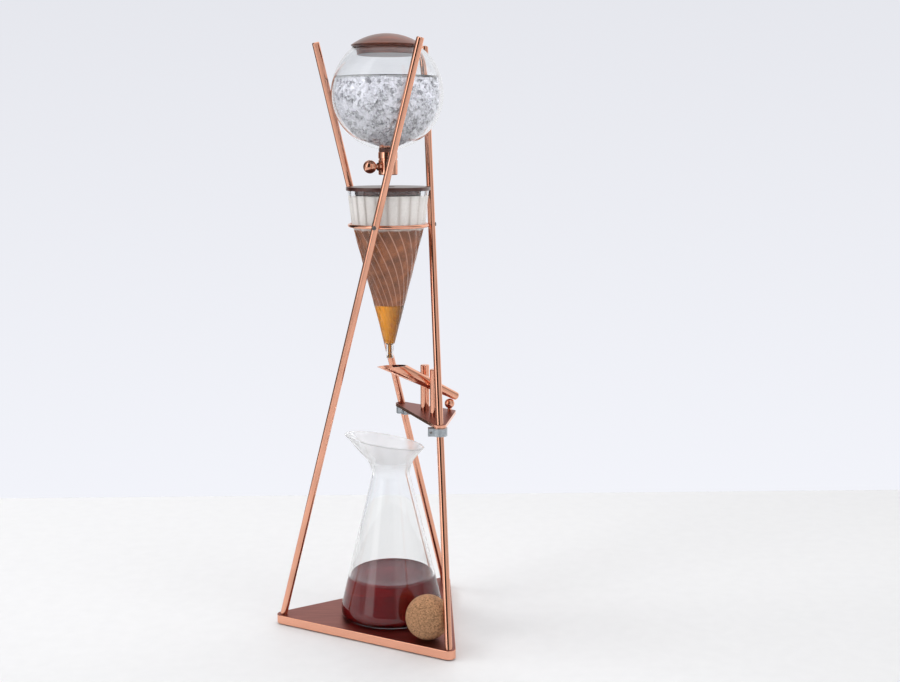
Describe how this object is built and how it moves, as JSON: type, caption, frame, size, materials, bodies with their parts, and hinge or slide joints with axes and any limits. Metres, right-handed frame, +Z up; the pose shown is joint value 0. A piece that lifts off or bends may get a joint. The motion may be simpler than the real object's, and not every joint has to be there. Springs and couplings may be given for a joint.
{
  "type": "cold drip coffee tower",
  "caption": "Tall cold drip coffee tower: a water bulb with a needle valve, a fluted dripper, a tipping pour tube and a carafe in a frame of leaning rods on a triangular base.",
  "frame": {"origin": "on the tower's upright axis, at the underside of the base, in the middle of the triangle of rods", "axes": "+Z up; -Y towards the viewer of the picture; +X to the viewer's right"},
  "size_m": [0.2078, 0.2284, 0.6545],
  "materials": {
    "copper": "polished",
    "bronzed_plate": "brushed",
    "screw_steel": "satin",
    "clamp_metal": "satin",
    "rubber": "matte",
    "silicone": "satin",
    "clear_glass": "gloss",
    "fluted_glass": "gloss",
    "walnut": "satin",
    "dark_walnut": "satin",
    "paper": "matte",
    "cork": "matte"
  },
  "bodies": {
    "frame": {"base_plate": "bronzed_plate", "base_pad": "rubber", "foot_screws": "screw_steel", "left_rod": "copper", "front_rod": "copper", "back_rod": "copper", "dripper_ring": "copper", "ring_screws": "screw_steel", "pour_platform": "bronzed_plate", "rear_clamp": "clamp_metal", "front_clamp": "clamp_metal", "clamp_screws": "screw_steel", "rear_post": "copper", "front_post": "copper", "post_screws": "screw_steel", "pivot_pin": "copper", "strike_ball": "copper", "strike_nut": "screw_steel"},
    "bulb": {"water_bulb": "clear_glass", "outer_gasket": "silicone", "inner_gasket": "silicone", "valve_body": "copper", "valve_nut": "copper", "gland_nut": "copper"},
    "stem_seal": {"stem_seal": "silicone"},
    "needle": {"needle_stem": "copper", "knob_ball": "copper"},
    "bulb_lid": {"bulb_lid": "walnut", "lid_seal": "silicone"},
    "dripper": {"dripper_cone": "fluted_glass", "paper_filter": "paper"},
    "dripper_lid": {"dripper_lid": "dark_walnut"},
    "tipping_tube": {"tipping_tube": "copper", "tail_weight": "copper", "pivot_bush": "copper"},
    "carafe": {"carafe": "clear_glass"},
    "cork_ball": {"cork_ball": "cork"}
  },
  "joints": [
    {"name": "bulb_lift", "type": "slide", "parent": "frame", "child": "bulb", "axis": [0, 0, 1], "range_m": [0, 0.12]},
    {"name": "stem_travel", "type": "slide", "parent": "bulb", "child": "stem_seal", "axis": [-0.8387, -0.5446, 0], "range_m": [0, 0.0015]},
    {"name": "needle_turn", "type": "hinge", "parent": "stem_seal", "child": "needle", "pos_m": [0, 0, 0.51453], "axis": [-0.8387, -0.5446, 0], "range_deg": [0, 1080]},
    {"name": "bulb_lid_lift", "type": "slide", "parent": "bulb", "child": "bulb_lid", "axis": [0, 0, 1], "range_m": [0, 0.06]},
    {"name": "dripper_lift", "type": "slide", "parent": "frame", "child": "dripper", "axis": [0, 0, 1], "range_m": [0, 0.007]},
    {"name": "dripper_lid_lift", "type": "slide", "parent": "dripper", "child": "dripper_lid", "axis": [0, 0, 1], "range_m": [0, 0.004]},
    {"name": "tube_tip", "type": "hinge", "parent": "frame", "child": "tipping_tube", "pos_m": [0.04395, 0.01548, 0.2732], "axis": [0.3322, -0.9432, 0], "range_deg": [0, 50]},
    {"name": "carafe_out", "type": "slide", "parent": "frame", "child": "carafe", "axis": [-0.4924, 0.8529, 0.1736], "range_m": [0, 0.2]},
    {"name": "cork_lift", "type": "slide", "parent": "frame", "child": "cork_ball", "axis": [-0.5, -0.7, 0.51], "range_m": [0, 0.1]}
  ],
  "couplings": [
    {"joint": "needle_turn", "follows": "stem_travel", "rad_per_m": 12566}
  ]
}
